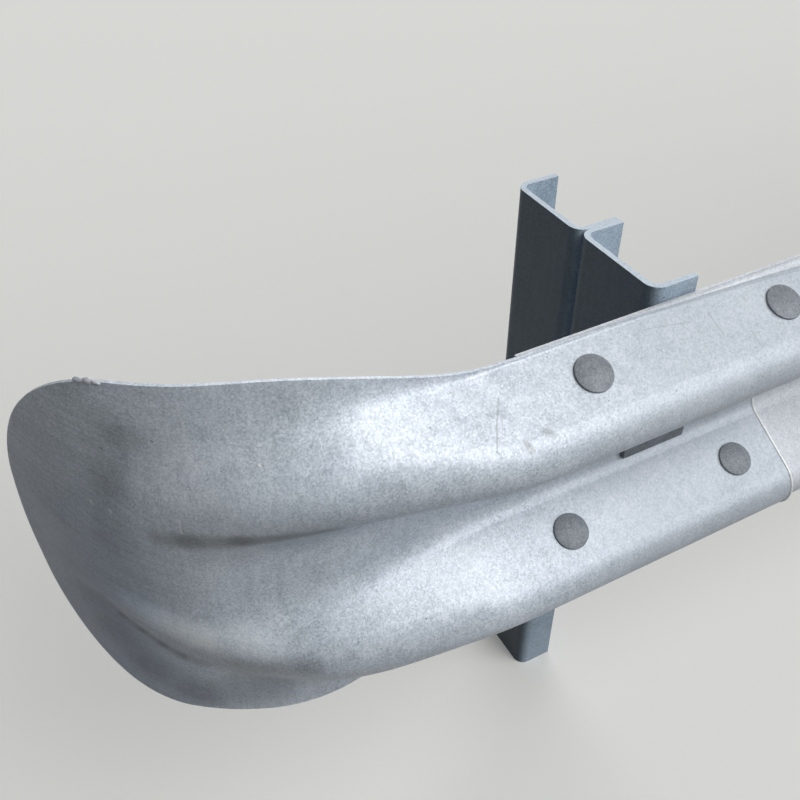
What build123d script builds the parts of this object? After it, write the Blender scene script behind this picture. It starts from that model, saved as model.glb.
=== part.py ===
from build123d import *
from math import cos, degrees, pi, radians, sin, sqrt, tan
import os

# Highway guardrail: six 2 m bays of two-wave beam on channel posts, with a
# flared fishtail end lapped over the front of the first beam.
# +X runs along the rail, +Y away from the traffic, +Z up, z = 0 at the ground.
# The origin is at the foot of the first post, in the middle of its web.

# Driving dimensions, in millimetres and degrees

# Layout
bay_length = 2000.0
bays = 6
bays_per_rail = 2
rail_mid_height = 565.0

# Two-wave section: depths and radii on the middle line of its sheet
sheet = 3.0
beam_width = 310.0
beam_depth = 81.0
crest_offset = 95.0
inner_flank_angle = 60.0
outer_flank_angle = 62.0
lip_length = 5.0
lip_angle = 10.0
crest_radius = 25.5
valley_radius = 25.0
lip_radius = 8.0

# Splice: eight slots, and a post slot in the valley
splice_pitch = 216.0
splice_edge = 52.0
splice_offset = -20.0
nest_clearance = 0.3
spring_run = 400.0
inner_row = 58.0
outer_row = 134.0
splice_slot_length = 26.0
splice_slot_width = 18.0
post_slot_length = 60.0
post_slot_width = 20.0
cutter_reach = 12.0

# Plate washer that bridges the valley
washer_length = 76.0
washer_height = 54.0
washer_sheet = 4.0
bolt_hole = 18.0

# Blockout channel
blockout_depth = 113.0
blockout_flange = 51.0
blockout_sheet = 6.0
blockout_bend = 9.0
blockout_height = 332.0
blockout_top = 166.0

# Post channel, and the two bolts that hold the blockout to it
post_depth = 109.0
post_flange = 51.0
post_sheet = 6.0
post_bend = 9.0
post_top = 166.0
seat_clearance = 0.2
bolt_from_web = 30.0
post_bolt_pitch = 120.0

# Fishtail end, seen from above: a straight run, then a curl
straight_run = 144.0
curl_radius = 270.0
curl_angle = 70.0
end_stations = 13

# Fishtail end, seen from the traffic: its cut outline
lap_end_width = 297.0
end_width = 422.0
widening_run = 250.0
rounding_length = 146.0
rounding_angle = 47.0
trim_margin = 6.0
trim_margin_run = 45.0

# Pressed wave of the fishtail, and where it has run out
wave_run = 412.0
closing_power = 1.7
sinking_run = 362.0
last_rise = 15.0
groove_run = 357.0
least_closing = 0.3
least_rise = 0.5
least_groove = 0.25
soft_foot_reach = 16.0
bend_share = 0.46

# Places that follow from the sizes above
blockout_rear = -post_depth / 2 - seat_clearance
blockout_front = blockout_rear - blockout_depth
beam_line = blockout_front - seat_clearance - sheet / 2
web_middle = post_sheet / 2
post_bolt_x = bolt_from_web - web_middle
splice_x = post_bolt_x + splice_offset
lap_length = splice_pitch + 2 * splice_edge
rail_length = bay_length * bays_per_rail
rail_count = bays // bays_per_rail
lap_offset = sheet + nest_clearance


# Folded sheets

def bend_angle(before, corner, after):
    """Angle that a line turns by at a corner, in radians."""
    return radians((corner - before).get_angle(after - corner))


def folded_side(corners, radii, shift):
    """One face of a folded sheet: the line through the corners, moved
    `shift` to its left, with a round bend at each inner corner."""
    points = [Vector(*c) for c in corners]
    runs = [(b - a).normalized() for a, b in zip(points, points[1:])]
    lefts = [Vector(-r.Y, r.X) for r in runs]
    moved = [points[0] + lefts[0] * shift]
    for point, one, two in zip(points[1:-1], lefts, lefts[1:]):
        moved.append(point + (one + two) * (shift / (1 + one.dot(two))))
    moved.append(points[-1] + lefts[-1] * shift)
    edges = []
    start = moved[0]
    for i, radius in enumerate(radii):
        before, after, corner = runs[i], runs[i + 1], moved[i + 1]
        half = bend_angle(points[i], points[i + 1], points[i + 2]) / 2
        turns_left = before.cross(after).Z > 0
        r = radius - shift if turns_left else radius + shift
        begin = corner - before * (r * tan(half))
        end = corner + after * (r * tan(half))
        crown = corner + (after - before).normalized() * (r / cos(half) - r)
        edges.append(Line(start, begin))
        edges.append(ThreePointArc(begin, crown, end))
        start = end
    edges.append(Line(start, moved[-1]))
    return edges


def folded_section(corners, radii, thickness, stand_off=0.0):
    """Section of a folded sheet around the line through its corners, or
    nested over such a sheet, `stand_off` to the left of that line."""
    left = folded_side(corners, radii, stand_off + thickness / 2)
    right = folded_side(corners, radii, stand_off - thickness / 2)
    first = Line(right[0] @ 0, left[0] @ 0)
    last = Line(left[-1] @ 1, right[-1] @ 1)
    return make_face(left + [last] + right + [first])


def mirrored(upper):
    """The upper half's corners, then the same below the middle height."""
    return upper + [(y, -z) for y, z in reversed(upper)]


# Two-wave beam

def beam_corners():
    """Sharp corners of the upper wave as (depth, height): lip edge, foot of
    the wave, crest and valley. Depth grows towards the traffic from the
    valley, height from the middle of the beam."""
    inner = Vector(cos(radians(inner_flank_angle)), -sin(radians(inner_flank_angle)))
    outer = Vector(cos(radians(outer_flank_angle)), sin(radians(outer_flank_angle)))
    centre = Vector(beam_depth - crest_radius, crest_offset)
    crest = centre + (inner + outer) * (crest_radius / (1 + inner.dot(outer)))
    foot_z = beam_width / 2 - lip_length * cos(radians(lip_angle))
    foot_y = crest.X - (foot_z - crest.Y) * tan(radians(outer_flank_angle))
    lip_y = foot_y - lip_length * sin(radians(lip_angle))
    valley_z = crest.Y - crest.X / tan(radians(inner_flank_angle))
    return [(lip_y, beam_width / 2), (foot_y, foot_z), (crest.X, crest.Y), (0, valley_z)]


beam_radii = [lip_radius, crest_radius, valley_radius]


def beam_section(stand_off=0.0):
    return folded_section(mirrored(beam_corners()), beam_radii + beam_radii[::-1], sheet, stand_off)


def across(x, y, heading=0.0):
    """Plane across the rail at (x, y): its x axis points to the traffic and
    its y axis up. The heading turns it with a rail that bends back."""
    toward = Vector(-sin(heading), -cos(heading))
    return Plane(origin=(x, y, rail_mid_height), x_dir=toward, z_dir=toward.cross(Vector(0, 0, 1)))


def beam_run(start, end, stand_off=0.0):
    """Straight beam between two places along the rail."""
    return extrude(across(start, beam_line) * beam_section(stand_off), end - start, dir=(1, 0, 0))


def sprung_run(start, end):
    """Beam that springs from its own line out to the front of the next."""
    near = across(start, beam_line) * beam_section()
    return loft([near, across(end, beam_line) * beam_section(lap_offset)], ruled=True)


def splice_cutters(x):
    """The eight splice slots around x, square to the flanks they cut."""
    lip, foot, crest, valley = beam_corners()
    cutters = []
    for row, low, high, tilt in ((outer_row, foot, crest, -outer_flank_angle),
                                 (inner_row, crest, valley, inner_flank_angle)):
        share = (row - low[1]) / (high[1] - low[1])
        depth = low[0] + share * (high[0] - low[0])
        for side in (1, -1):
            for step in (-splice_pitch / 2, splice_pitch / 2):
                slot = extrude(SlotOverall(splice_slot_length, splice_slot_width), cutter_reach, both=True)
                place = (x + step, beam_line - depth, rail_mid_height + side * row)
                cutters.append(Location(place, (90 + side * tilt, 0, 0)) * slot)
    return cutters


def post_cutter(x):
    slot = extrude(SlotOverall(post_slot_length, post_slot_width), cutter_reach, both=True)
    return Location((x, beam_line, rail_mid_height), (90, 0, 0)) * slot


def rail(number):
    """One beam, from half a lap before its first splice to half a lap after
    its last. It lies on the blockouts, and where another beam follows, its
    far lap is sprung out to lie in front of that beam."""
    lap_starts = rail_length - lap_length / 2
    lap_ends = rail_length + lap_length / 2
    if number + 1 < rail_count:
        body = beam_run(-lap_length / 2, lap_starts - spring_run)
        body += sprung_run(lap_starts - spring_run, lap_starts)
        body += beam_run(lap_starts, lap_ends, lap_offset)
    else:
        body = beam_run(-lap_length / 2, lap_ends)
    cutters = splice_cutters(0) + splice_cutters(rail_length)
    for bay in range(bays_per_rail + 1):
        cutters.append(post_cutter(bay * bay_length))
    return Location((splice_x + number * rail_length, 0, 0)) * (body - cutters)


# Fishtail end

def curl_point(run):
    """Place and heading of the skirts, `run` along them from the lap."""
    heading = max(0.0, run - straight_run) / curl_radius
    x = -min(run, straight_run) - curl_radius * sin(heading)
    y = curl_radius * (1 - cos(heading))
    return x, y, heading


def ease(share):
    """From 1 to 0 as share goes from 0 to 1, level at both ends."""
    return 0.5 + 0.5 * cos(pi * min(1.0, max(0.0, share)))


def half_width(run):
    """Half the height of the fishtail, as its waves are pressed out."""
    widened = 1 - ease(run / widening_run)
    return beam_width / 2 + (end_width - beam_width) / 2 * widened


def pressed_section(run):
    """Section of the fishtail, with depths from the skirts: the skirts close
    in on the two waves, and the waves sink until the sheet is flat. Two bends
    share each run between corners, and one bend has an end run for itself."""
    lip, foot, crest, valley = beam_corners()
    share = min(1.0, run / wave_run)
    spread = half_width(run) / (beam_width / 2)
    narrowed = sqrt(1 - share ** closing_power)
    closing = spread * max(least_closing, narrowed)
    sinking = crest[0] - lip[0] - last_rise - least_rise
    rise = sinking * ease(run / sinking_run) + last_rise * narrowed + least_rise
    groove = least_groove + (crest[0] - least_groove) * ease(run / groove_run)
    edge = half_width(run) + trim_margin * min(1.0, run / trim_margin_run)
    corners = mirrored([(0, edge), ((foot[0] - lip[0]) * ease(share), foot[1] * closing),
                        (rise, crest[1] * closing), (rise - groove, valley[1] * closing)])
    beam = [Vector(*c) for c in mirrored([lip, foot, crest, valley])]
    points = [Vector(*c) for c in corners]
    lengths = [(b - a).length for a, b in zip(points, points[1:])]
    lengths = [2 * lengths[0]] + lengths[1:-1] + [2 * lengths[-1]]
    radii = []
    for i, radius in enumerate(beam_radii + beam_radii[::-1]):
        reach = radius * tan(bend_angle(*beam[i:i + 3]) / 2)
        if i in (0, 5):
            reach += (soft_foot_reach - reach) * (1 - ease(share * 2))
        reach = min(reach * closing, bend_share * min(lengths[i:i + 2]))
        radii.append(reach / tan(bend_angle(*points[i:i + 3]) / 2))
    return folded_section(corners, radii, sheet, lap_offset)


def end_outline():
    """The fishtail's cut outline seen from the traffic, as a thick block:
    a little narrow at the lap's edge, widening towards the curl."""
    lap_end = lap_length / 2 + trim_margin
    start = -lap_length / 2
    end = start + curl_point(widening_run)[0]
    far = end - 2 * end_width
    upper = [
        Line((lap_end, lap_end_width / 2), (-splice_pitch / 2, beam_width / 2)),
        Line((-splice_pitch / 2, beam_width / 2), (start, beam_width / 2)),
        Spline((start, beam_width / 2), (end, end_width / 2), tangents=[(-1, 0), (-1, 0)]),
        Line((end, end_width / 2), (far, end_width / 2)),
    ]
    lower = [mirror(edge, about=Plane.XZ) for edge in upper]
    ends = [Line(upper[0] @ 0, lower[0] @ 0), Line(upper[-1] @ 1, lower[-1] @ 1)]
    front = Plane((splice_x, 0, rail_mid_height), x_dir=(1, 0, 0), z_dir=(0, -1, 0))
    return extrude(front * make_face(upper + lower + ends), 4 * end_width, both=True)


def end_rounding(tip):
    """Block with the fishtail's round end, seen across the curled sheet."""
    length = 4 * end_width
    shape = Location((rounding_length, 0)) * Ellipse(rounding_length, end_width / 2)
    shape += Location((rounding_length + length / 2, 0)) * Rectangle(length, end_width + trim_margin)
    back = Vector(cos(radians(rounding_angle)), -sin(radians(rounding_angle)))
    plane = Plane(origin=tip, x_dir=back, z_dir=back.cross(Vector(0, 0, 1)))
    return plane * extrude(shape, length, both=True)


def end_terminal():
    """Fishtail end: the lap fits over the beam, then the waves run out, the
    skirts widen and the sheet curls back from the traffic."""
    start_x = splice_x - lap_length / 2
    skirt_line = beam_line - beam_corners()[0][0]
    total = straight_run + curl_radius * radians(curl_angle)
    sections = []
    for i in range(end_stations):
        run = total * i / (end_stations - 1)
        x, y, heading = curl_point(run)
        sections.append(across(start_x + x, skirt_line + y, heading) * pressed_section(run))
    body = beam_run(start_x, splice_x + lap_length / 2, lap_offset) + loft(sections)
    tip = (start_x + x, skirt_line + y, rail_mid_height)
    body = body & end_outline() & end_rounding(tip)
    return body - splice_cutters(splice_x) - post_cutter(splice_x)


# Channels

def channel(depth, flange, thickness, bend, height):
    """Folded channel on z = 0: its web along Y with the outer face at x = 0,
    its flanges towards +X, and y = 0 at mid depth."""
    edge = depth / 2 - thickness / 2
    corners = [(flange, -edge), (thickness / 2, -edge), (thickness / 2, edge), (flange, edge)]
    radius = bend + thickness / 2
    return extrude(folded_section(corners, [radius, radius], thickness), height)


def bolt_bore(x, y, z):
    return Location((x, y, z), (90, 0, 0)) * Cylinder(bolt_hole / 2, 4 * cutter_reach)


def flange_bores(x):
    """Bores through the two flanges that meet between post and blockout."""
    low = rail_mid_height - post_bolt_pitch / 2
    return [bolt_bore(x + post_bolt_x, blockout_rear, low + step) for step in (0, post_bolt_pitch)]


def post(number):
    x = number * bay_length
    height = rail_mid_height + post_top
    body = channel(post_depth, post_flange, post_sheet, post_bend, height)
    return Location((x - web_middle, 0, 0)) * body - flange_bores(x)


def blockout(number):
    x = number * bay_length
    foot = rail_mid_height + blockout_top - blockout_height
    middle = (blockout_rear + blockout_front) / 2
    body = channel(blockout_depth, blockout_flange, blockout_sheet, blockout_bend, blockout_height)
    body = Location((x - web_middle, middle, foot)) * body - flange_bores(x)
    return body - bolt_bore(x + post_bolt_x, blockout_front, rail_mid_height)


# Plate washers

def valley_depth(height, stand_off):
    """Depth of a sheet's traffic face at a height within the valley."""
    valley_z = beam_corners()[3][1]
    slope = radians(inner_flank_angle)
    cover = stand_off + sheet / 2
    flat = valley_z - valley_radius * tan(slope / 2)
    radius = valley_radius - cover
    if height <= flat:
        return cover
    if height <= flat + radius * sin(slope):
        return valley_radius - sqrt(radius ** 2 - (height - flat) ** 2)
    return (height - valley_z) * tan(slope) + cover / cos(slope)


def plate_washer(number):
    """Flat washer whose long edges rest on the sides of the valley."""
    lapped = number % bays_per_rail == 0 and number < bays
    x = number * bay_length + post_bolt_x
    depth = valley_depth(washer_height / 2, lap_offset if lapped else 0.0)
    y = beam_line - depth - seat_clearance - washer_sheet / 2
    plate = Location((x, y, rail_mid_height)) * Box(washer_length, washer_sheet, washer_height)
    return plate - bolt_bore(x, y, rail_mid_height)


# Pieces

pieces = {"end_terminal": end_terminal()}
for n in range(rail_count):
    pieces[f"rail_{n + 1}"] = rail(n)
for n in range(bays + 1):
    pieces[f"post_{n + 1}"] = post(n)
    pieces[f"blockout_{n + 1}"] = blockout(n)
    pieces[f"plate_washer_{n + 1}"] = plate_washer(n)

os.makedirs("parts", exist_ok=True)
for name, solid in pieces.items():
    solid.label = name
    export_step(solid, f"parts/{name}.step")
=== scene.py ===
from math import cos, pi, radians, sin, sqrt

import bmesh
import bpy
from mathutils import Matrix, Vector
from mathutils.bvhtree import BVHTree


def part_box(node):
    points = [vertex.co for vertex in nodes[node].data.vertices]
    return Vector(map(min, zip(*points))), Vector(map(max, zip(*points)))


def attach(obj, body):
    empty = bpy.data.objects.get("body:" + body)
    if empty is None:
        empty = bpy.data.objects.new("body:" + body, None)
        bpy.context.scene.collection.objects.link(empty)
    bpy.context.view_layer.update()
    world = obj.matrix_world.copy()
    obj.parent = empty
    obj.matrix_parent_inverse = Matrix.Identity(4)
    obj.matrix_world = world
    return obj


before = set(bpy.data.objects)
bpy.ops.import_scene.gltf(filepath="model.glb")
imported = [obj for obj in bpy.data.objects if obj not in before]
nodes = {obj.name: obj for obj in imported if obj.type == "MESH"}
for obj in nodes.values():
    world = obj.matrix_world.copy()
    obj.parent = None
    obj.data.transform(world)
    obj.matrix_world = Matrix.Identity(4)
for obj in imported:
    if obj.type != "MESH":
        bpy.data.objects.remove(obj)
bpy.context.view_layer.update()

# Highway guardrail: hot-dip galvanised two-wave beams on channel posts, with
# a pressed fishtail end. Metres; +X along the rail, +Y away from the traffic.

MM = 0.001

# How many of each the frame holds
posts = sorted(name for name in nodes if name.startswith("post_"))
rails = sorted(name for name in nodes if name.startswith("rail_"))
bays_per_rail = (len(posts) - 1) // len(rails)

# Places of the fasteners, in millimetres, as the slots and bores lie
SPLICE_PITCH = 216.0
SPLICE_OFFSET = -20.0
OUTER_ROW = 134.0
INNER_ROW = 58.0
BEAM_SHEET = 3.0
BESIDE_SLOT = 16.0
POST_BOLT_PITCH = 120.0
CHANNEL_SHEET = 6.0

# M16 guardrail bolts and nuts, in millimetres; three pips stand at PIP_PLACE of
# the head's radius, PIP_STEP radians apart
HEAD_RADIUS = 18.0
HEAD_RIM = 2.2
HEAD_HEIGHT = 5.2
HEAD_ROUNDING = 0.7
PIP_RADIUS = 0.8
PIP_HEIGHT = 0.35
PIP_PLACE = 0.6
PIP_STEP = 0.35
SHANK_RADIUS = 8.0
THREAD_PITCH = 2.0
THREAD_DEPTH = 0.7
THREAD_OUT = 12.0
TIP_STEP = 0.2
TIP_CHAMFER = 1.2
NUT_FLATS = 24.0
NUT_HEIGHT = 13.0
ROUND_WASHER_RADIUS = 15.0
ROUND_WASHER_SHEET = 3.0
CLEAR = 0.15

# Zinc beads and lumps left by the bath, in millimetres; a lump is its place
# on the top edge, its half length and its height, and the edge there runs
# LUMP_TURN radians off X
BEAD_RADIUS = 1.4
BEAD_INSET = 1.2
LUMP_HALF_DEPTH = 1.9
LUMP_SUNK = 1.2
LUMP_TURN = -0.72
LUMPS = [(-484.0, -105.4, 5.5, 2.2), (-479.0, -109.8, 5.0, 3.0), (-474.5, -113.8, 4.5, 2.0)]

# How far bolts stand off the middle of their slots, in millimetres: across the
# flank by row, and along the rail by (column, row) where the photograph shows
# it, at the first splice. The others stray by DRIFT at most.
SETTLED = {-2: 1.0, -1: -1.0, 1: 1.0, 2: -1.0}
PLAY = {(-1, 2): 5.0, (1, 2): 5.0, (-1, -1): 4.0, (1, -1): -3.0}
DRIFT = 2.0
POST_BOLT_DROP = 1.0

# Patterns in galvanised steel, as repeats per metre: drifts of 150 mm, blotches
# of 25 mm, grain of 2 mm, crystals of 1.6 mm, a pit in every second cell of
# 10 mm, runs down the sheet, nicks along it and shallow dents of 70 mm
CLOUDS = 6.5
BLOTCHES = 40.0
GRAIN = 520.0
CRYSTALS = 620.0
PITS = 95.0
RUNS = (160.0, 160.0, 9.0)
NICKS = (75.0, 130.0, 40.0)
DENTS = 15.0

# Wiped streaks on the end sheet's curl, 4.5 mm wide and 110 mm long, as repeats
# per metre across and along them
STREAKS_ACROSS = Vector((0.216, -0.288, 0.93)) * 220
STREAKS_ALONG = Vector((-0.56, 0.74, 0.36)) * 9

# Where the end sheet's streaks and painted shade are full and where they fade out, in metres:
# streaks and the curl's painted shade along X, that shade up Z as well, and the painted shade that
# dulls the lap
STREAKS_X = (-0.5, -0.42)
CURL_SHADE_X = (-0.515, -0.43)
CURL_SHADE_Z = (0.5, 0.78)
LAP_SHADE_X = (0.0, -0.2)

# Tones laid over the zinc: pits and nicks; streaks, and painted shade on the curl and lap,
# on the end sheet; painted shade on the channels' closed side, painted highlight on cut ends
PIT_TONE, NICK_TONE = "#50555a", "#666b70"
STREAK_TONE, CURL_SHADE_TONE, LAP_SHADE_TONE = "#5c666e", "#395178", "#8d959f"
WEB_SHADE_TONE, CUT_END_HIGHLIGHT_TONE = "#343f48", "#cdd6df"

# Studio: the floor's half side in metres, its tone as seen and as it lights the
# part from below, its glow, the world's tone, its light on the part and as
# seen, and the warm tint of the near lamp
FLOOR_HALF = 400.0
FLOOR_SEEN = "#ebebe8"
FLOOR_BOUNCE = "#4c4c4e"
FLOOR_GLOW = 0.2
WORLD_FILL = 0.05
WORLD_SEEN = 0.78
WORLD_TONE = "#f0f1f0"
WARM_TINT = "#fffaf3"

# Camera: the lens is given by its focal length in pixels of the photograph
CAMERA_PLACE = (-0.5228, -0.6701, 1.2019)
CAMERA_TURN = (27.83, 40.93, -0.46)
FOCAL_PIXELS = 938.1
PHOTO_PIXELS = 800
SENSOR = 36.0


# Colours and nodes

def colour(code):
    """sRGB hex to the linear colour that a shader socket takes."""
    parts = [int(code[i:i + 2], 16) / 255 for i in (1, 3, 5)]
    return [p / 12.92 if p <= 0.04045 else ((p + 0.055) / 1.055) ** 2.4 for p in parts] + [1.0]


def add(tree, kind, inputs=(), **settings):
    """Adds a shader node. Settings are its properties; inputs are values or
    the sockets that feed it, by name or number."""
    node = tree.nodes.new("ShaderNode" + kind)
    for name, value in settings.items():
        setattr(node, name, value)
    for key, value in dict(inputs).items():
        if isinstance(value, bpy.types.NodeSocket):
            tree.links.new(value, node.inputs[key])
        else:
            node.inputs[key].default_value = value
    return node


def ramp(tree, factor, *stops):
    """Colour ramp through (place, hex colour) stops."""
    node = add(tree, "ValToRGB", {"Fac": factor})
    points = node.color_ramp.elements
    while len(points) < len(stops):
        points.new(0.5)
    for point, (place, code) in zip(points, stops):
        point.position = place
        point.color = colour(code)
    return node.outputs["Color"]


def blank(name):
    """A material with its tree, its shader and its object coordinates."""
    material = bpy.data.materials.new(name)
    material.use_nodes = True
    tree = material.node_tree
    shader = tree.nodes["Principled BSDF"]
    place = add(tree, "TexCoord").outputs["Object"]
    return material, tree, shader, place


def summed(tree, start, *layers):
    """start plus each layer's (socket - 0.5) times its weight."""
    total = start
    for socket, weight in layers:
        total = add(tree, "Math", {0: socket, 1: weight, 2: total},
                    operation="MULTIPLY_ADD").outputs[0]
        total = add(tree, "Math", {0: total, 1: 0.5 * weight}, operation="SUBTRACT").outputs[0]
    return total


def fade(tree, value, full, none):
    """1 where value is at full, falling smoothly to 0 where it is at none."""
    return add(tree, "MapRange", {"Value": value, "From Min": none, "From Max": full},
               interpolation_type="SMOOTHSTEP").outputs[0]


def stroke(tree, place, start, end, width, soft):
    """Mask of a straight mark from start to end, in millimetres, with the
    half width that is full and the distance over which it fades."""
    start, end = Vector(start) * MM, Vector(end) * MM
    run = end - start
    off = add(tree, "VectorMath", {0: place, 1: start}, operation="SUBTRACT").outputs[0]
    along = add(tree, "VectorMath", {0: off, 1: run / run.length_squared},
                operation="DOT_PRODUCT").outputs["Value"]
    along = add(tree, "Clamp", {0: along}).outputs[0]
    foot = add(tree, "VectorMath", {0: run, "Scale": along}, operation="SCALE").outputs[0]
    gap = add(tree, "VectorMath", {0: off, 1: foot}, operation="DISTANCE").outputs["Value"]
    return fade(tree, gap, width * MM, (width + soft) * MM)


def painted(tree, base, mask, strength, code, blend="MIX"):
    """Colour base with a hex colour laid over it where the mask is. A blend
    that lightens or darkens keeps the grain beneath it."""
    share = add(tree, "Math", {0: mask, 1: strength}, operation="MULTIPLY").outputs[0]
    mix = add(tree, "Mix", {"Factor": share}, data_type="RGBA", blend_type=blend)
    tree.links.new(base, mix.inputs[6])
    mix.inputs[7].default_value = colour(code)
    return mix.outputs[2]


def specks(tree, where, scale, channel, least, largest):
    """Mask of round specks, one in each Voronoi cell whose random number is
    above least, with a radius up to largest of a cell."""
    cells = add(tree, "TexVoronoi", {"Vector": where, "Scale": scale}, feature="F1")
    chosen = add(tree, "SeparateColor", {"Color": cells.outputs["Color"]}).outputs[channel]
    size = add(tree, "MapRange", {"Value": chosen, "From Min": least, "To Max": largest})
    return add(tree, "Math", {0: cells.outputs["Distance"], 1: size.outputs[0]},
               operation="LESS_THAN").outputs[0]


def galvanised(name, dark, middle, light, metallic=0.15, rough=(0.38, 0.48), contrast=1.0,
               sheen=0.5, marks_and_painted_light=None):
    """Hot-dip galvanised steel: frozen zinc, dulled by weather. Its crystals
    differ a little in grey, which drifts in clouds; pits and nicks of 1 to
    3 mm are strewn over it. Weathered zinc is covered by its own carbonate,
    so it is mostly not metallic and its sheen is soft."""
    material, tree, shader, place = blank(name)
    cloud = add(tree, "TexNoise", {"Vector": place, "Scale": CLOUDS, "Detail": 4.0,
                                   "Roughness": 0.6}).outputs["Fac"]
    blotch = add(tree, "TexNoise", {"Vector": place, "Scale": BLOTCHES, "Detail": 5.0,
                                    "Roughness": 0.65}).outputs["Fac"]
    grain = add(tree, "TexNoise", {"Vector": place, "Scale": GRAIN, "Detail": 4.0,
                                   "Roughness": 0.8}).outputs["Fac"]
    crystals = add(tree, "TexVoronoi", {"Vector": place, "Scale": CRYSTALS}, feature="F1")
    spangle = crystals.outputs["Color"]
    runs = add(tree, "VectorMath", {0: place, 1: RUNS}, operation="MULTIPLY").outputs[0]
    runs = add(tree, "TexNoise", {"Vector": runs, "Scale": 1.0, "Detail": 3.0}).outputs["Fac"]
    shade = summed(tree, 0.5, (cloud, 0.7 * contrast), (blotch, 0.6 * contrast),
                   (grain, 1.15 * contrast), (spangle, 0.5 * contrast), (runs, 0.35 * contrast))
    base = ramp(tree, shade, (0.1, dark), (0.5, middle), (0.9, light))
    pit = specks(tree, place, PITS, 0, 0.5, 0.1)
    base = painted(tree, base, pit, 0.55, PIT_TONE)
    stretched = add(tree, "VectorMath", {0: place, 1: NICKS}, operation="MULTIPLY").outputs[0]
    nick = specks(tree, stretched, 1.0, 1, 0.6, 0.09)
    base = painted(tree, base, nick, 0.45, NICK_TONE)
    height = summed(tree, 0.5, (grain, 0.6), (spangle, 0.3), (pit, -1.5), (nick, -1.5))
    wave = add(tree, "TexNoise", {"Vector": place, "Scale": DENTS, "Detail": 2.0}).outputs["Fac"]
    if marks_and_painted_light:
        base, wave = marks_and_painted_light(tree, place, base, wave)
    tree.links.new(base, shader.inputs["Base Color"])
    gloss = add(tree, "MapRange", {"Value": blotch, "From Min": 0.3, "From Max": 0.7,
                                   "To Min": rough[0], "To Max": rough[1]})
    tree.links.new(gloss.outputs[0], shader.inputs["Roughness"])
    shader.inputs["Metallic"].default_value = metallic
    shader.inputs["Specular IOR Level"].default_value = sheen
    dents = add(tree, "Bump", {"Height": wave, "Strength": 0.35, "Distance": 0.002}).outputs[0]
    fine = add(tree, "Bump", {"Height": height, "Normal": dents, "Strength": 0.4,
                              "Distance": 0.0004}).outputs[0]
    tree.links.new(fine, shader.inputs["Normal"])
    return material


def end_sheet_marks_and_light(tree, place, base, wave):
    """What weather and handling left on the end sheet, with painted light and
    shade: wiped streaks and painted blue shade on the curl, painted highlights and
    painted shade, with some dirt, where the waves run out, scratches and chips on
    the front, painted shade that dulls the lap, and knocks."""
    parts = add(tree, "SeparateXYZ", {0: place}).outputs
    x, z = parts["X"], parts["Z"]
    across = add(tree, "VectorMath", {0: place, 1: STREAKS_ACROSS}, operation="DOT_PRODUCT")
    along = add(tree, "VectorMath", {0: place, 1: STREAKS_ALONG}, operation="DOT_PRODUCT")
    wiped = add(tree, "CombineXYZ", {0: across.outputs["Value"], 1: along.outputs["Value"]})
    wiped = add(tree, "TexNoise", {"Vector": wiped.outputs[0], "Scale": 1.0, "Detail": 2.0},
                noise_dimensions="2D").outputs["Fac"]
    wiped = fade(tree, wiped, 0.6, 0.45)
    wiped = add(tree, "Math", {0: wiped, 1: fade(tree, x, *STREAKS_X)},
                operation="MULTIPLY").outputs[0]
    base = painted(tree, base, wiped, 0.16, STREAK_TONE)
    # Painted shade: the curl darkened and tinted blue, most at its far end and low down
    curl_shade = add(tree, "Math", {0: fade(tree, x, *CURL_SHADE_X), 1: fade(tree, z, *CURL_SHADE_Z)},
                operation="MULTIPLY").outputs[0]
    base = painted(tree, base, curl_shade, 0.5, CURL_SHADE_TONE)
    facing = add(tree, "SeparateXYZ", {0: add(tree, "NewGeometry").outputs["Normal"]}).outputs[1]
    front = fade(tree, facing, -0.05, 0.05)
    for start, end, width, soft, strength, code in END_MARKS_AND_LIGHT:
        mask = add(tree, "Math", {0: stroke(tree, place, start, end, width, soft), 1: front},
                   operation="MULTIPLY").outputs[0]
        base = painted(tree, base, mask, strength, code, BLENDS.get(code, "MULTIPLY"))
    # Partly a duller film, partly painted shade: the lap end darkened to stand for less light
    # there
    base = painted(tree, base, fade(tree, x, *LAP_SHADE_X), 0.45, LAP_SHADE_TONE)
    for start, end, width, soft, depth in KNOCKS:
        knock = stroke(tree, place, start, end, width, soft)
        wave = add(tree, "Math", {0: knock, 1: -depth, 2: wave},
                   operation="MULTIPLY_ADD").outputs[0]
    return base, wave


def channel_painted_light(tree, place, base, wave):
    """Painted shade on the webs' closed side, the faces turned to -X, and a
    painted highlight on the cut ends that face up."""
    normal = add(tree, "SeparateXYZ", {0: add(tree, "NewGeometry").outputs["Normal"]})
    # Painted shade on faces turned to -X
    web_shade = fade(tree, normal.outputs[0], -0.97, -0.4)
    base = painted(tree, base, web_shade, 0.74, WEB_SHADE_TONE)
    # Painted highlight on faces turned up
    cut_end_highlight = fade(tree, normal.outputs[2], 0.95, 0.6)
    return painted(tree, base, cut_end_highlight, 0.35, CUT_END_HIGHLIGHT_TONE), wave


# Colours of the marks and of the painted light and shade on the end sheet, and how they
# are laid on: painted highlights lighten what is beneath them, scratches and chips cover
# it, the rest darken it
SOFT_PAINTED_HIGHLIGHT, STRONG_PAINTED_HIGHLIGHT = "#e2e8f0", "#f4f8fc"
SCUFF, CHIP = "#767c80", "#eef1f2"
DIRT_AND_SHADE, SHADE, CREASE_SHADE, SKIRT_SHADE = "#4c4946", "#6b7378", "#38434f", "#46566c"
STAIN, SPOT = "#a39a8c", "#4b4f52"
BLENDS = {SOFT_PAINTED_HIGHLIGHT: "SOFT_LIGHT", STRONG_PAINTED_HIGHLIGHT: "SOFT_LIGHT", SCUFF: "MIX", CHIP: "MIX"}
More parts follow.
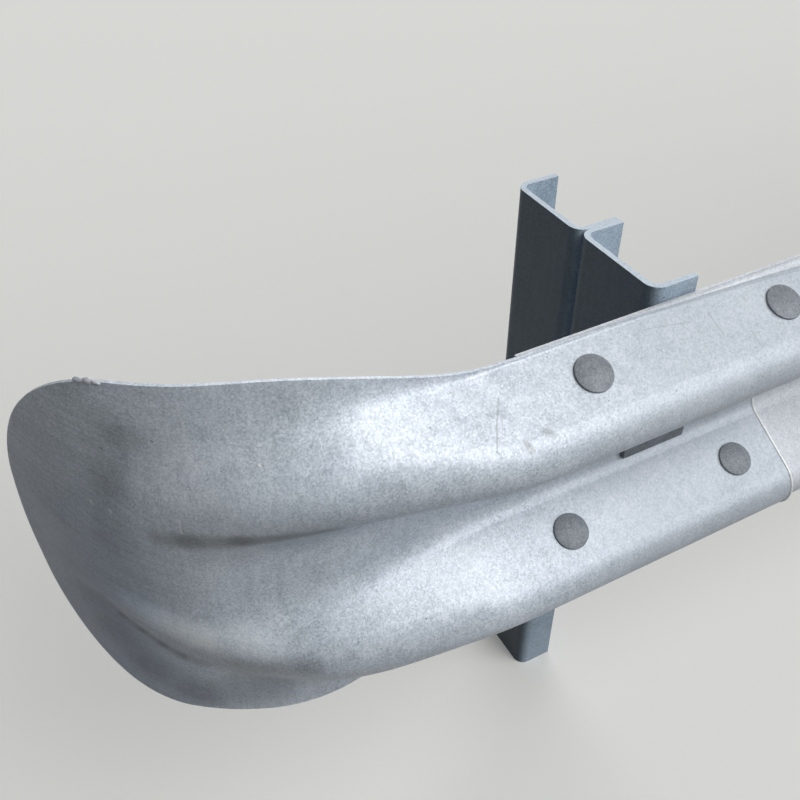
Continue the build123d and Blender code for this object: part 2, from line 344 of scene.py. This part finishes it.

# Marks, painted highlights and painted shade on the end sheet, in millimetres:
# start, end, half width, fade, strength and colour
END_MARKS_AND_LIGHT = [
    # Painted highlights on the upper and lower waves where they run out
    ((-391, -193, 679), (-335, -217, 690), 6, 34, 0.55, SOFT_PAINTED_HIGHLIGHT),
    ((-425, -180, 560), (-372, -205, 545), 6, 34, 0.4, SOFT_PAINTED_HIGHLIGHT),
    # Dirt and painted shade under the upper wave, where it runs out
    ((-462, -139, 624), (-440, -155, 627), 1, 16, 0.35, DIRT_AND_SHADE),
    ((-443, -152, 627), (-407, -177, 630), 3, 15, 0.5, DIRT_AND_SHADE),
    ((-407, -177, 630), (-342, -207, 638), 3, 13, 0.55, DIRT_AND_SHADE),
    ((-425, -168, 458), (-371, -205, 468), 5, 16, 0.25, DIRT_AND_SHADE),
    # Painted highlights on the lower wave's end
    ((-495, -107, 522), (-478, -124, 506), 1, 30, 0.7, STRONG_PAINTED_HIGHLIGHT),
    ((-478, -124, 506), (-455, -146, 495), 1, 32, 0.85, STRONG_PAINTED_HIGHLIGHT),
    ((-455, -146, 495), (-407, -181, 494), 1, 34, 0.9, STRONG_PAINTED_HIGHLIGHT),
    # Painted shade in the crease at the lower wave's foot
    ((-516, -74, 510), (-505, -85, 487), 1, 9, 0.4, CREASE_SHADE),
    ((-505, -85, 487), (-493, -98, 471), 1, 8, 0.5, CREASE_SHADE),
    ((-493, -98, 471), (-480, -110, 455), 1, 8, 0.5, CREASE_SHADE),
    ((-480, -110, 455), (-466, -121, 442), 1, 9, 0.45, CREASE_SHADE),
    ((-466, -121, 442), (-451, -133, 435), 1, 12, 0.3, CREASE_SHADE),
    ((-477, -113, 729), (-485, -106, 673), 5, 26, 0.2, SHADE),
    ((-485, -106, 673), (-496, -104, 607), 6, 26, 0.22, SHADE),
    # Painted shade along the skirt below the lower wave
    ((-529, -53, 530), (-515, -72, 452), 6, 30, 0.22, SKIRT_SHADE),
    ((-515, -72, 452), (-496, -94, 411), 6, 30, 0.25, SKIRT_SHADE),
    ((-496, -94, 411), (-461, -126, 381), 6, 30, 0.28, SKIRT_SHADE),
    ((-461, -126, 381), (-400, -165, 392), 6, 30, 0.3, SKIRT_SHADE),
    ((-469, -120, 725), (-462, -125, 722), 4, 14, 0.2, DIRT_AND_SHADE),
    ((-185.2, -201.4, 708.1), (-198.4, -220.2, 698.5), 0.5, 0.6, 0.4, SCUFF),
    ((-198.4, -220.2, 698.5), (-208.7, -237.5, 688.2), 0.5, 0.6, 0.5, SCUFF),
    ((-208.7, -237.5, 688.2), (-203.0, -245.8, 678.4), 0.5, 0.6, 0.5, SCUFF),
    ((-203.0, -245.8, 678.4), (-198.5, -250.4, 666.8), 0.5, 0.6, 0.4, SCUFF),
    ((39.6, -195.3, 710.1), (42.0, -216.6, 698.7), 0.3, 0.5, 0.6, SCUFF),
    ((70.8, -220.6, 696.6), (71.1, -236.6, 688.1), 0.3, 0.5, 0.45, SCUFF),
    ((-35.0, -189.0, 713.0), (17.4, -197.1, 709.1), 0.3, 0.4, 0.4, SCUFF),
    ((-162.0, -235.0, 688.5), (-157.0, -240.0, 686.0), 1.5, 3, 0.4, SCUFF),
    ((-182.4, -239.0, 687.0), (-180.0, -244.5, 682.0), 1.5, 3, 0.4, STAIN),
    ((-384.0, -180.6, 707.5), (-380.5, -182.5, 704.5), 0.5, 1.0, 0.7, CHIP),
    ((-381.5, -182.5, 707.0), (-380.0, -183.5, 705.0), 0.4, 0.7, 0.5, SHADE),
    ((-446.0, -154.2, 652.8), (-446.5, -154.2, 637.0), 0.3, 0.8, 0.4, CHIP),
    ((-444.6, -155.4, 650.0), (-445.0, -155.4, 641.0), 0.3, 0.8, 0.3, SHADE),
    ((-501.5, -89.8, 643.6), (-500.5, -92.0, 641.0), 0.6, 1.6, 0.3, CHIP),
    ((-490.1, -107.3, 642.5), (-489.0, -108.0, 638.5), 0.6, 1.6, 0.3, CHIP),
    ((-449.5, -133.5, 722.3), (-449.0, -134.0, 721.0), 0.6, 1.0, 0.5, SPOT),
    ((-483.1, -107.0, 708.1), (-483.0, -107.0, 706.5), 0.5, 1.0, 0.35, SPOT),
]

# Knocks in the end sheet, in millimetres: start, end, half width, fade, and a
# depth of which 1 is about 0.7 mm
KNOCKS = [
    ((-204, -186, 718), (-193, -200, 709), 0, 22, 2.0),
    ((-181, -196, 711), (-176, -203, 707), 0, 16, -1.2),
    ((-222, -200, 712), (-214, -212, 705), 0, 14, 0.8),
    ((-236, -176, 726), (-212, -174, 727), 0, 14, -1.0),
    ((-163, -231, 691), (-160, -236, 688), 0, 9, 0.35),
    ((-258, -231, 690), (-254, -236, 686), 0, 9, 0.3),
]

# Pressed sheet, handled and weathered: silver blue, with soft highlights; its marks include
# painted light and shade
end_zinc = galvanised("weathered_zinc_end_sheet_painted_light", "#96a0ac", "#bac4d0", "#d7dee9",
                      marks_and_painted_light=end_sheet_marks_and_light)
# Rolled sheet: more even, paler and more matt
beam_zinc = galvanised("galvanised_beam_sheet", "#9da3ab", "#b9bfc7", "#d1d6dd",
                       rough=(0.46, 0.6), contrast=0.8)
# Thick folded plate, which cools slowly in the bath: blue grey and dull
channel_zinc = galvanised("galvanised_channel_steel", "#7a8a99", "#98aabb", "#b2c2d0",
                          metallic=0.1, rough=(0.4, 0.5), sheen=0.2, marks_and_painted_light=channel_painted_light)
# Old plate washers: dark grey
plate_zinc = galvanised("galvanised_washer_plate", "#4d5359", "#62686e", "#777d83")
# Zinc frozen thick along an edge; its almost white colour is a painted highlight on the rim
bead_zinc_painted_highlight = galvanised("zinc_bead_painted_highlight", "#c9cdd1", "#e2e6e9", "#eef1f3", contrast=0.6)
# Forged bolts, galvanised and spun: mid grey and matt
bolt_zinc = galvanised("dull_zinc_bolt", "#5f656c", "#747a82", "#878d94", metallic=0.2,
                       rough=(0.5, 0.62), sheen=0.3)

for name, node in nodes.items():
    node.data.materials.clear()
    if name == "end_terminal":
        node.data.materials.append(end_zinc)
    elif name.startswith("rail_"):
        node.data.materials.append(beam_zinc)
    elif name.startswith("plate_washer"):
        node.data.materials.append(plate_zinc)
    else:
        node.data.materials.append(channel_zinc)


# Meshes

def turned(profile, steps=32):
    """Mesh spun about Z from a profile of (radius, height) in millimetres."""
    bm = bmesh.new()
    points = [bm.verts.new((r * MM, 0, z * MM)) for r, z in profile]
    edges = [bm.edges.new(pair) for pair in zip(points, points[1:])]
    bmesh.ops.spin(bm, geom=points + edges, cent=(0, 0, 0), axis=(0, 0, 1), angle=2 * pi,
                   steps=steps, use_merge=True)
    bmesh.ops.remove_doubles(bm, verts=bm.verts, dist=1e-6)
    bmesh.ops.recalc_face_normals(bm, faces=bm.faces)
    return bm


def hexagon(flats, height, chamfer=1.2):
    """Hexagon nut standing on z = 0 with its outline edges chamfered."""
    bm = bmesh.new()
    radius = flats / 2 / cos(pi / 6) * MM
    bmesh.ops.create_cone(bm, cap_ends=True, segments=6, radius1=radius, radius2=radius,
                          depth=height * MM, matrix=Matrix.Translation((0, 0, height * MM / 2)))
    rim = [e for e in bm.edges if abs(e.verts[0].co.z - e.verts[1].co.z) < 1e-6]
    bmesh.ops.bevel(bm, geom=rim, offset=chamfer * MM, segments=2, profile=0.5,
                    affect="EDGES", material=-1)
    return bm


def joined(name, parts, material):
    """One piece from (bmesh, matrix) pairs, riding on the root body."""
    whole = bmesh.new()
    for part, matrix in parts:
        mesh = bpy.data.meshes.new("part")
        part.to_mesh(mesh)
        mesh.transform(matrix)
        whole.from_mesh(mesh)
        bpy.data.meshes.remove(mesh)
    mesh = bpy.data.meshes.new(name)
    whole.to_mesh(mesh)
    whole.free()
    mesh.shade_smooth()
    mesh.set_sharp_from_angle(angle=radians(35))
    piece = bpy.data.objects.new(name, mesh)
    bpy.context.scene.collection.objects.link(piece)
    mesh.materials.append(material)
    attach(piece, "root")
    return piece


# Fasteners

def head_profile():
    """Mushroom head on z = 0: a low dome over an upright rim."""
    drop = HEAD_HEIGHT - HEAD_RIM
    ball = (HEAD_RADIUS ** 2 + drop ** 2) / (2 * drop)
    dome = []
    for i in range(9):
        r = (HEAD_RADIUS - HEAD_ROUNDING) * i / 8
        dome.append((r, HEAD_HEIGHT - ball + sqrt(ball ** 2 - r ** 2)))
    rim = [(HEAD_RADIUS - HEAD_ROUNDING / 4, HEAD_RIM), (HEAD_RADIUS, HEAD_RIM - HEAD_ROUNDING)]
    return dome + rim + [(HEAD_RADIUS, 0), (0, 0)]


def rod_profile(length):
    """Threaded end from z = 0 to its chamfered tip."""
    points = [(SHANK_RADIUS, 0)]
    z = 0.5
    while z < length - THREAD_PITCH:
        points += [(SHANK_RADIUS, z), (SHANK_RADIUS - THREAD_DEPTH, z + THREAD_PITCH / 2)]
        z += THREAD_PITCH
    tip = SHANK_RADIUS - TIP_STEP
    return points + [(tip, length - TIP_CHAMFER), (tip - TIP_CHAMFER, length), (0, length)]


head = turned(head_profile(), 48)
pip = turned([(0, PIP_HEIGHT), (0.6 * PIP_RADIUS, 0.8 * PIP_HEIGHT),
              (PIP_RADIUS, -PIP_HEIGHT), (0, -PIP_HEIGHT)], 10)
nut = hexagon(NUT_FLATS, NUT_HEIGHT)
round_washer = turned([(0, 0), (ROUND_WASHER_RADIUS, 0), (ROUND_WASHER_RADIUS, ROUND_WASHER_SHEET),
                       (0, ROUND_WASHER_SHEET)])
rod = turned(rod_profile(NUT_HEIGHT + ROUND_WASHER_SHEET + THREAD_OUT), 24)


def upright(point, normal, turn=0.0):
    """Matrix that stands a part's Z along the normal at a point."""
    stand = normal.to_track_quat("Z", "Y").to_matrix().to_4x4()
    return Matrix.Translation(point) @ stand @ Matrix.Rotation(turn, 4, "Z")


def head_parts(point, normal, turn=0.0):
    """Mushroom head on a face, with three plain pips on its dome."""
    point = point + normal * CLEAR * MM
    parts = [(head, upright(point, normal, turn))]
    dome = HEAD_HEIGHT - PIP_PLACE ** 2 * (HEAD_HEIGHT - HEAD_RIM)
    seat = Matrix.Translation((0, PIP_PLACE * HEAD_RADIUS * MM, dome * MM))
    for i in range(3):
        parts.append((pip, upright(point, normal, turn + PIP_STEP * i) @ seat))
    return parts


def nut_parts(point, normal, turn):
    """Round washer, nut and threaded end on a face."""
    point = point + normal * CLEAR * MM
    above = point + normal * ROUND_WASHER_SHEET * MM
    return [(round_washer, upright(point, normal)), (nut, upright(above, normal, turn)),
            (rod, upright(point, normal))]


def tree_of(*names):
    """Search tree over several CAD nodes' meshes."""
    bm = bmesh.new()
    for name in names:
        bm.from_mesh(nodes[name].data)
    tree = BVHTree.FromBMesh(bm)
    bm.free()
    return tree


def sheet_face(tree, x, z, from_traffic):
    """Point and outward normal of the outermost sheet face at (x, z)."""
    way = Vector((0, 1 if from_traffic else -1, 0))
    point, normal = tree.ray_cast(Vector((x, 0, z)) - way, way)[:2]
    if normal.dot(way) > 0:
        normal = -normal
    return point, normal


def splice(number, x, names):
    """Eight bolts through two lapped sheets, heads to the traffic. A slot is
    cut square to its flank on the middle line of the sheet that lies on the
    blockouts, so that line gives each bolt's axis. Every bolt and nut ends at
    its own angle, and so has its own turn."""
    tree = tree_of(*names)
    middle = (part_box("rail_1")[0].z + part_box("rail_1")[1].z) / 2
    heads, nuts = [], []
    rows = {-2: -OUTER_ROW, -1: -INNER_ROW, 1: INNER_ROW, 2: OUTER_ROW}
    for column in (-1, 1):
        for row, height in rows.items():
            play = DRIFT * sin(7 * row + 3 * column + number)
            if number == 1:
                play = PLAY.get((column, row), play)
            slot_x = x + column * SPLICE_PITCH / 2 * MM
            z = middle + height * MM
            front, out = sheet_face(tree, slot_x + BESIDE_SLOT * MM, z, True)
            rear = sheet_face(tree, slot_x + BESIDE_SLOT * MM, z, False)[0]
            stack = abs((front - rear).y * out.y)
            half_sheet = BEAM_SHEET / 2 * MM
            axis = Vector((slot_x + play * MM, rear.y - half_sheet / abs(out.y), z))
            axis += Vector((0, out.z, -out.y)) * SETTLED[row] * MM
            heads += head_parts(axis + out * (stack - half_sheet), out, 0.9 * row + 2 * column)
            nuts += nut_parts(axis - out * half_sheet, -out, 0.8 * row + column)
    joined(f"splice_bolt_heads_{number}", heads, bolt_zinc)
    joined(f"splice_nuts_{number}", nuts, bolt_zinc)


washer_low, washer_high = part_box("plate_washer_1")
bolt_x = (washer_low.x + washer_high.x) / 2
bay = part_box("post_2")[0].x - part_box("post_1")[0].x
for i in range(len(rails)):
    before = "end_terminal" if i == 0 else f"rail_{i}"
    splice(i + 1, bolt_x + SPLICE_OFFSET * MM + i * bays_per_rail * bay, (before, f"rail_{i + 1}"))

back = Vector((0, 1, 0))
for i in range(1, len(posts) + 1):
    low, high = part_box(f"plate_washer_{i}")
    blockout_low, blockout_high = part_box(f"blockout_{i}")
    x, z = (low.x + high.x) / 2, (low.z + high.z) / 2
    inside = blockout_low.y + CHANNEL_SHEET * MM
    parts = head_parts(Vector((x, low.y, z - POST_BOLT_DROP * MM)), -back, 0.7 * i)
    parts += nut_parts(Vector((x, inside, z)), back, 0.3 * i)
    joined(f"post_bolt_{i}", parts, bolt_zinc)
    parts = []
    for side in (-1, 1):
        level = z + side * POST_BOLT_PITCH / 2 * MM
        seat = Vector((x, blockout_high.y - CHANNEL_SHEET * MM, level))
        parts += head_parts(seat, -back, side + i)
        seat = Vector((x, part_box(f"post_{i}")[0].y + CHANNEL_SHEET * MM, level))
        parts += nut_parts(seat, back, 0.2 * i + side)
    joined(f"blockout_bolts_{i}", parts, bolt_zinc)


# Zinc left on the end sheet by its bath

def lap_bead():
    """Bead of zinc along the end sheet's lap edge, on the traffic side, near
    white as a painted highlight: a cut through the sheet's front face gives its line."""
    bm = bmesh.new()
    bm.from_mesh(nodes["end_terminal"].data)
    bmesh.ops.remove_doubles(bm, verts=bm.verts, dist=1e-6)
    bm.normal_update()
    rear = [f for f in bm.faces if f.normal.y > -0.05]
    bmesh.ops.delete(bm, geom=rear, context="FACES")
    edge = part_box("end_terminal")[1].x - BEAD_INSET * MM
    cut = bmesh.ops.bisect_plane(bm, geom=bm.verts[:] + bm.edges[:] + bm.faces[:], dist=1e-7,
                                 plane_co=(edge, 0, 0), plane_no=(1, 0, 0))["geom_cut"]
    places = {round(v.co.z, 5): v.co.copy() for v in cut if isinstance(v, bmesh.types.BMVert)}
    line = [places[z] for z in sorted(places)]
    bm.free()
    curve = bpy.data.curves.new("lap_bead_line", "CURVE")
    curve.dimensions = "3D"
    curve.bevel_depth = BEAD_RADIUS * MM
    curve.bevel_resolution = 2
    curve.use_fill_caps = True
    spline = curve.splines.new("POLY")
    spline.points.add(len(line) - 1)
    for point, place in zip(spline.points, line):
        point.co = (*place, 1)
    path = bpy.data.objects.new("lap_bead_line", curve)
    part = bmesh.new()
    part.from_mesh(path.to_mesh())
    bpy.data.objects.remove(path)
    joined("lap_edge_zinc_bead", [(part, Matrix())], bead_zinc_painted_highlight)


def zinc_lumps():
    """Runs of zinc that set in a row of lumps on the end sheet's top edge."""
    parts = []
    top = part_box("end_terminal")[1].z - LUMP_SUNK * MM
    for x, y, long, high in LUMPS:
        lump = bmesh.new()
        bmesh.ops.create_icosphere(lump, subdivisions=3, radius=1.0)
        for vert in lump.verts:
            vert.co *= 1 + 0.12 * sin(3 * vert.co.x + x) * cos(4 * vert.co.y + 2 * vert.co.z)
        bmesh.ops.scale(lump, vec=(long * MM, LUMP_HALF_DEPTH * MM, high * MM), verts=lump.verts)
        lump.normal_update()
        place = Matrix.Translation((x * MM, y * MM, top))
        parts.append((lump, place @ Matrix.Rotation(LUMP_TURN, 4, "Z")))
    joined("top_edge_zinc_lumps", parts, beam_zinc)


lap_bead()
zinc_lumps()


# Floor, light and camera

def seen_rays(tree):
    """1 for the rays by which the camera and the gloss see the backdrop."""
    rays = add(tree, "LightPath").outputs
    return add(tree, "Math", {0: rays["Is Camera Ray"], 1: rays["Is Glossy Ray"]},
               operation="MAXIMUM").outputs[0]


def stage_floor():
    """Wide pale floor that keeps the part's shadow."""
    mesh = bpy.data.meshes.new("floor")
    bm = bmesh.new()
    bmesh.ops.create_grid(bm, x_segments=1, y_segments=1, size=FLOOR_HALF)
    bm.to_mesh(mesh)
    bm.free()
    floor = bpy.data.objects.new("floor", mesh)
    bpy.context.scene.collection.objects.link(floor)
    material, tree, shader, place = blank("pale_floor")
    shader.inputs["Roughness"].default_value = 0.9
    pale = seen_rays(tree)
    tone = add(tree, "Mix", {"Factor": pale}, data_type="RGBA")
    tone.inputs[6].default_value = colour(FLOOR_BOUNCE)
    tone.inputs[7].default_value = colour(FLOOR_SEEN)
    tree.links.new(tone.outputs[2], shader.inputs["Base Color"])
    glow = add(tree, "Math", {0: pale, 1: FLOOR_GLOW}, operation="MULTIPLY")
    shader.inputs["Emission Color"].default_value = colour(FLOOR_SEEN)
    tree.links.new(glow.outputs[0], shader.inputs["Emission Strength"])
    mesh.materials.append(material)
    return floor


def far_lamp(name, toward, spread, power):
    """Soft lamp far away in the direction toward, spread degrees wide, so
    that all the bays get the same light."""
    light = bpy.data.lights.new(name, "SUN")
    light.angle = radians(spread)
    light.energy = power
    lamp = bpy.data.objects.new(name, light)
    bpy.context.scene.collection.objects.link(lamp)
    lamp.rotation_euler = Vector(toward).to_track_quat("Z", "Y").to_euler()


def near_lamp(name, place, target, size, power, spared):
    """Round softbox, size metres wide, at place and aimed at target. It
    leaves the spared object unlit."""
    light = bpy.data.lights.new(name, "AREA")
    light.shape = "DISK"
    light.color = colour(WARM_TINT)[:3]
    light.size = size
    light.energy = power
    lamp = bpy.data.objects.new(name, light)
    bpy.context.scene.collection.objects.link(lamp)
    lamp.location = place
    lamp.visible_camera = False
    lamp.rotation_euler = (Vector(place) - Vector(target)).to_track_quat("Z", "Y").to_euler()
    receivers = bpy.data.collections.new(name + "_receivers")
    receivers.objects.link(spared)
    receivers.collection_objects[0].light_linking.link_state = "EXCLUDE"
    lamp.light_linking.receiver_collection = receivers


def camera():
    """The photograph's viewpoint: above the end, looking down along it."""
    yaw, pitch, roll = (radians(angle) for angle in CAMERA_TURN)
    ahead = Vector((sin(yaw) * cos(pitch), cos(yaw) * cos(pitch), -sin(pitch)))
    level = Vector((cos(yaw), -sin(yaw), 0))
    over = level.cross(ahead)
    right = level * cos(roll) + over * sin(roll)
    up = over * cos(roll) - level * sin(roll)
    data = bpy.data.cameras.new("camera")
    data.sensor_width = SENSOR
    data.lens = FOCAL_PIXELS * SENSOR / PHOTO_PIXELS
    data.clip_start = 0.02
    view = bpy.data.objects.new("camera", data)
    bpy.context.scene.collection.objects.link(view)
    turn = Matrix((right, up, -ahead)).transposed().to_4x4()
    view.matrix_world = Matrix.Translation(CAMERA_PLACE) @ turn
    bpy.context.scene.camera = view


floor = stage_floor()
camera()
far_lamp("softbox_over_traffic", toward=(0.53, -0.6, 0.6), spread=55, power=1.95)
far_lamp("softbox_behind", toward=(0.45, 0.85, 0.3), spread=60, power=1.6)
near_lamp("panel_over_end", place=(0.05, -0.85, 1.62), target=(-0.2, -0.22, 0.64), size=0.8,
          power=8.2, spared=floor)

world = bpy.data.worlds.new("studio")
world.use_nodes = True
bpy.context.scene.world = world
backdrop = world.node_tree.nodes["Background"]
strength = add(world.node_tree, "MapRange", {"Value": seen_rays(world.node_tree),
                                             "To Min": WORLD_FILL, "To Max": WORLD_SEEN})
backdrop.inputs["Color"].default_value = colour(WORLD_TONE)
world.node_tree.links.new(strength.outputs[0], backdrop.inputs["Strength"])

bpy.context.scene.view_settings.view_transform = "Standard"
